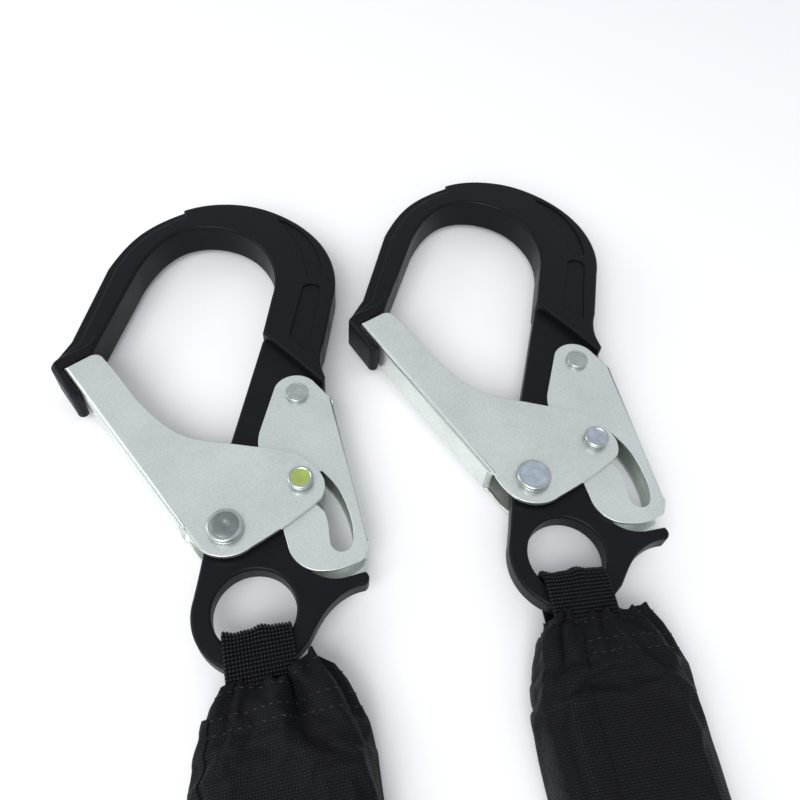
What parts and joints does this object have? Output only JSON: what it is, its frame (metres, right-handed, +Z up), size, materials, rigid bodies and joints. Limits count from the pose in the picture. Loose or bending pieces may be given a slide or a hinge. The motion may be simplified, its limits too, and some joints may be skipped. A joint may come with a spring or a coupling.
{
  "type": "shock absorbing lanyard",
  "caption": "Twin-leg fall-arrest lanyard with locking scaffold hooks, energy absorbers in fabric covers, webbing straps and a screw-lock harness connector.",
  "frame": {"origin": "centre of the lanyard's bounding box, on the surface that it lies on", "axes": "+Z up from that surface, +Y from the harness connector towards the hooks, +X to the right"},
  "size_m": [0.3164, 0.7948, 0.026],
  "materials": {
    "black_alloy": "black satin coating on forged aluminium",
    "zinc_steel": "pale zinc plating",
    "rivet_steel": "zinc plated, turned face",
    "latch_steel": "zinc plated, yellow-green tint",
    "spring_steel": "yellow passivated wire",
    "webbing": "black ribbed polyester webbing",
    "cover_cloth": "black plain-weave cloth",
    "elastic": "black covered elastic",
    "hook_and_loop": "black hook-and-loop tape",
    "tear_webbing": "undyed folded tear webbing",
    "connector_steel": "bright zinc plating",
    "sleeve_alloy": "black anodised, fluted"
  },
  "bodies": {
    "left_leg": {"left_pack_cover": "cover_cloth", "left_absorber_pack": "tear_webbing", "left_eye_webbing": "webbing", "left_mouth_elastic": "elastic", "left_closure_strip": "hook_and_loop", "left_leg_strap": "webbing", "left_strap_keeper": "elastic"},
    "left_hook": {"left_hook_body": "black_alloy", "left_gate_rivet": "rivet_steel", "left_lever_rivet": "rivet_steel", "left_gate_spring": "spring_steel", "left_lever_spring": "spring_steel"},
    "left_gate": {"left_gate": "zinc_steel", "left_latch_pin": "latch_steel"},
    "left_lever": {"left_lock_lever": "zinc_steel"},
    "right_leg": {"right_pack_cover": "cover_cloth", "right_absorber_pack": "tear_webbing", "right_eye_webbing": "webbing", "right_mouth_elastic": "elastic", "right_closure_strip": "hook_and_loop", "right_leg_strap": "webbing", "right_strap_keeper": "elastic"},
    "right_hook": {"right_hook_body": "black_alloy", "right_gate_rivet": "rivet_steel", "right_lever_rivet": "rivet_steel", "right_gate_spring": "spring_steel", "right_lever_spring": "spring_steel"},
    "right_gate": {"right_gate": "zinc_steel", "right_latch_pin": "rivet_steel"},
    "right_lever": {"right_lock_lever": "zinc_steel"},
    "connector": {"connector_body": "connector_steel", "connector_gate_pin": "rivet_steel"},
    "connector_gate": {"connector_gate": "connector_steel", "connector_plunger": "rivet_steel", "connector_gate_spring": "spring_steel"},
    "connector_sleeve": {"connector_screw_sleeve": "sleeve_alloy"}
  },
  "joints": [
    {"name": "left_hook_swing", "type": "hinge", "parent": "left_leg", "child": "left_hook", "pos_m": [-0.04702, 0.13576, 0.012], "axis": [0.9511, 0.309, 0], "range_deg": [-20, 20]},
    {"name": "left_gate_turn", "type": "hinge", "parent": "left_hook", "child": "left_gate", "pos_m": [-0.06799, 0.1793, 0.012], "axis": [0, 0, -1], "range_deg": [0, 38], "stiffness_Nm_per_rad": 0.35, "springref_deg": -22.92, "deforming": ["left_gate_spring"]},
    {"name": "left_lever_turn", "type": "hinge", "parent": "left_hook", "child": "left_lever", "pos_m": [-0.05154, 0.24601, 0.012], "axis": [0, 0, -1], "range_deg": [0, 10.3], "deforming": ["left_lever_spring"]},
    {"name": "right_hook_swing", "type": "hinge", "parent": "right_leg", "child": "right_hook", "pos_m": [0.06788, 0.17022, 0.012], "axis": [0.9728, 0.2317, 0], "range_deg": [-20, 20]},
    {"name": "right_gate_turn", "type": "hinge", "parent": "right_hook", "child": "right_gate", "pos_m": [0.05046, 0.21531, 0.012], "axis": [0, 0, -1], "range_deg": [0, 38], "stiffness_Nm_per_rad": 0.35, "springref_deg": -22.92, "deforming": ["right_gate_spring"]},
    {"name": "right_lever_turn", "type": "hinge", "parent": "right_hook", "child": "right_lever", "pos_m": [0.07221, 0.28047, 0.012], "axis": [0, 0, -1], "range_deg": [0, 10.3], "deforming": ["right_lever_spring"]},
    {"name": "connector_swing", "type": "hinge", "parent": "left_leg", "child": "connector", "pos_m": [0.10416, -0.2704, 0.0083], "axis": [0.9833, 0.1822, 0], "range_deg": [-90, 45]},
    {"name": "right_leg_swing", "type": "hinge", "parent": "connector", "child": "right_leg", "pos_m": [0.10416, -0.2704, 0.0083], "axis": [0.9833, 0.1822, 0], "range_deg": [-45, 90]},
    {"name": "connector_gate_turn", "type": "hinge", "parent": "connector", "child": "connector_gate", "pos_m": [0.13854, -0.2803, 0.0083], "axis": [0, 0, -1], "range_deg": [0, 40], "stiffness_Nm_per_rad": 0.15, "springref_deg": -22.92},
    {"name": "screw_sleeve_slide", "type": "slide", "parent": "connector_gate", "child": "connector_sleeve", "axis": [0.1822, -0.9833, 0], "range_m": [0, 0.009]}
  ],
  "couplings": [
    {"joint": "left_lever_turn", "follows": "left_gate_turn", "ratio": 0.27},
    {"joint": "right_lever_turn", "follows": "right_gate_turn", "ratio": 0.27}
  ]
}
